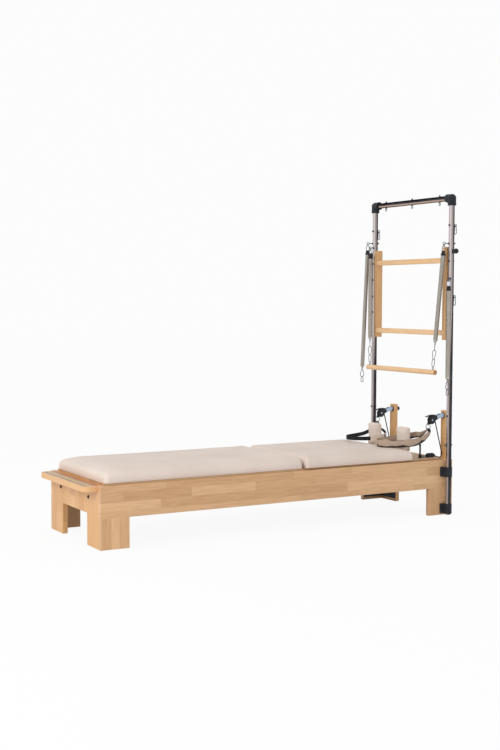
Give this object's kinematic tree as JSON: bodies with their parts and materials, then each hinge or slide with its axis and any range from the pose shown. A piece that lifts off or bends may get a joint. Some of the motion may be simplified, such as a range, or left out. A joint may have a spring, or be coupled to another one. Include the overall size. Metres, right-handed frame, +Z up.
{
  "type": "pilates reformer with tower",
  "caption": "Wooden pilates reformer with a sliding padded carriage, a padded insert, rope pulleys and foot loops, and a steel tower with a ladder, springs and a hanging bar",
  "frame": {"origin": "on the floor, under the middle of the whole object", "axes": "+X from the standing platform at the foot end to the tower, +Y across the bed to the side that faces away in the picture, +Z up"},
  "size_m": [2.5852, 0.9478, 2.0435],
  "materials": {
    "rail_wood": "clear satin varnish on finger-jointed light hardwood",
    "end_board_wood": "clear satin varnish on finger-jointed light hardwood",
    "striped_wood": "clear satin varnish on strips of mixed hardwoods",
    "stile_wood": "clear satin varnish",
    "turned_wood": "clear satin varnish",
    "inner_wood": "plain plywood and softwood",
    "upholstery": "smooth matt beige imitation leather",
    "strap": "padded webbing, beige and black",
    "rope": "black braided cord",
    "black_plastic": "moulded black",
    "black_steel": "satin black powder coat",
    "polished_steel": "polished",
    "aluminium_track": "extruded and anodised",
    "spring_steel": "plated steel"
  },
  "bodies": {
    "frame": {"arm_spring_eye_far": "spring_steel", "arm_spring_eye_near": "spring_steel", "cross_member": "inner_wood", "elbow_far": "black_steel", "elbow_near": "black_steel", "foot_end_board": "end_board_wood", "leg_spring_eye_far": "spring_steel", "leg_spring_eye_near": "spring_steel", "post_clamp_far_high": "black_steel", "post_clamp_far_low": "black_steel", "post_clamp_near_high": "black_steel", "post_clamp_near_low": "black_steel", "pulley_bracket_far": "polished_steel", "pulley_bracket_near": "polished_steel", "riser_far": "end_board_wood", "riser_near": "end_board_wood", "rope_far": "rope", "rope_near": "rope", "side_plank_far": "rail_wood", "side_plank_near": "rail_wood", "spring_bar": "spring_steel", "standing_platform": "striped_wood", "tower_crossbar": "polished_steel", "tower_end_board": "end_board_wood", "tower_post_far": "polished_steel", "tower_post_near": "polished_steel", "track_far": "aluminium_track", "track_near": "aluminium_track"},
    "carriage": {"carriage_board": "inner_wood", "carriage_frame": "inner_wood", "carriage_pad": "upholstery", "foot_loop_far": "strap", "foot_loop_near": "strap", "reformer_spring_1": "spring_steel", "reformer_spring_2": "spring_steel", "reformer_spring_3": "spring_steel", "reformer_spring_4": "spring_steel", "rope_lock_far": "black_plastic", "rope_lock_near": "black_plastic"},
    "mat_insert": {"mat_insert_board": "inner_wood", "mat_insert_pad": "upholstery"},
    "front_wheels": {"front_wheelset": "black_plastic"},
    "rear_wheels": {"rear_wheelset": "black_plastic"},
    "near_shoulder_rest": {"shoulder_rest_near": "upholstery", "shoulder_bracket_near": "black_steel"},
    "far_shoulder_rest": {"shoulder_rest_far": "upholstery", "shoulder_bracket_far": "black_steel"},
    "near_pulley": {"pulley_wheel_near": "black_plastic"},
    "far_pulley": {"pulley_wheel_far": "black_plastic"},
    "ladder": {"ladder_stile_near": "stile_wood", "ladder_stile_far": "stile_wood", "ladder_upper_rung": "turned_wood", "ladder_lower_rung": "turned_wood"},
    "near_ladder_knob": {"ladder_knob_near": "black_plastic"},
    "far_ladder_knob": {"ladder_knob_far": "black_plastic"},
    "roll_down": {"roll_down_bar": "turned_wood", "arm_spring_near": "spring_steel", "arm_spring_far": "spring_steel"},
    "near_leg_spring": {"leg_spring_near": "spring_steel"},
    "far_leg_spring": {"leg_spring_far": "spring_steel"}
  },
  "joints": [
    {"name": "carriage_slide", "type": "slide", "parent": "frame", "child": "carriage", "axis": [-1, 0, 0], "range_m": [0, 1.02], "deforming": ["rope_near", "rope_far"]},
    {"name": "mat_insert_lift", "type": "slide", "parent": "frame", "child": "mat_insert", "axis": [-0.9578, 0, 0.2873], "range_m": [0, 1.07]},
    {"name": "front_wheel_spin", "type": "hinge", "parent": "carriage", "child": "front_wheels", "pos_m": [0.22235, 0, 0.3033], "axis": [0, -1, 0], "continuous": true},
    {"name": "rear_wheel_spin", "type": "hinge", "parent": "carriage", "child": "rear_wheels", "pos_m": [1.06235, 0, 0.3033], "axis": [0, -1, 0], "continuous": true},
    {"name": "near_shoulder_rest_lift", "type": "slide", "parent": "carriage", "child": "near_shoulder_rest", "axis": [0, 0, 1], "range_m": [0, 0.05]},
    {"name": "far_shoulder_rest_lift", "type": "slide", "parent": "carriage", "child": "far_shoulder_rest", "axis": [0, 0, 1], "range_m": [0, 0.05]},
    {"name": "near_pulley_spin", "type": "hinge", "parent": "frame", "child": "near_pulley", "pos_m": [1.13735, -0.2775, 0.602], "axis": [0, 1, 0], "continuous": true},
    {"name": "far_pulley_spin", "type": "hinge", "parent": "frame", "child": "far_pulley", "pos_m": [1.13735, 0.2775, 0.602], "axis": [0, 1, 0], "continuous": true},
    {"name": "ladder_swing", "type": "hinge", "parent": "frame", "child": "ladder", "pos_m": [1.17335, 0, 1.682], "axis": [0, -1, 0], "range_deg": [0, 110]},
    {"name": "near_ladder_knob_turn", "type": "hinge", "parent": "frame", "child": "near_ladder_knob", "pos_m": [1.17335, -0.4115, 1.682], "axis": [0, 1, 0], "continuous": true},
    {"name": "far_ladder_knob_turn", "type": "hinge", "parent": "frame", "child": "far_ladder_knob", "pos_m": [1.17335, 0.4115, 1.682], "axis": [0, 1, 0], "continuous": true},
    {"name": "roll_down_swing", "type": "hinge", "parent": "frame", "child": "roll_down", "pos_m": [1.12505, 0, 1.7276], "axis": [0, 1, 0], "range_deg": [0, 45]},
    {"name": "near_leg_spring_swing", "type": "hinge", "parent": "frame", "child": "near_leg_spring", "pos_m": [1.13239, -0.44018, 1.5066], "axis": [0, 1, 0], "range_deg": [0, 40]},
    {"name": "far_leg_spring_swing", "type": "hinge", "parent": "frame", "child": "far_leg_spring", "pos_m": [1.13239, 0.44018, 1.7586], "axis": [0, 1, 0], "range_deg": [0, 40]}
  ],
  "couplings": [
    {"joint": "mat_insert_lift", "follows": "carriage_slide", "ratio": 1.044},
    {"joint": "front_wheel_spin", "follows": "carriage_slide", "rad_per_m": 52.632},
    {"joint": "rear_wheel_spin", "follows": "carriage_slide", "rad_per_m": 52.632}
  ]
}
